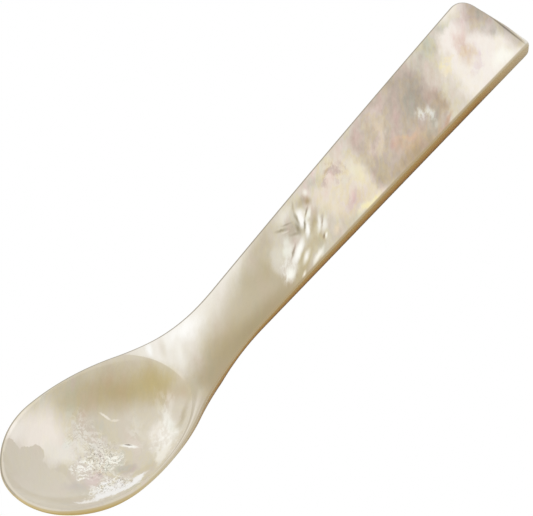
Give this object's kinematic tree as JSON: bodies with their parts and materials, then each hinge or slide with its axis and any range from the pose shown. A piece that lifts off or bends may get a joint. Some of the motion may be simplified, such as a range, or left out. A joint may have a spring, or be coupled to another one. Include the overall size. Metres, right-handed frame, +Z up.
{
  "type": "caviar spoon",
  "caption": "Small spoon carved from one piece of mother-of-pearl, with an egg-shaped bowl that rises towards its tip and a flat handle that widens to its end; used to serve caviar.",
  "frame": {"origin": "middle of the bounding box's underside, on the plane that the spoon lies on", "axes": "+X along the spoon from the bowl's tip to the handle's end, +Y across it, +Z up out of the bowl's hollow"},
  "size_m": [0.1158, 0.022, 0.0136],
  "materials": {
    "nacre": "polished to a gloss"
  },
  "bodies": {
    "root": {"caviar_spoon": "nacre"}
  },
  "joints": []
}
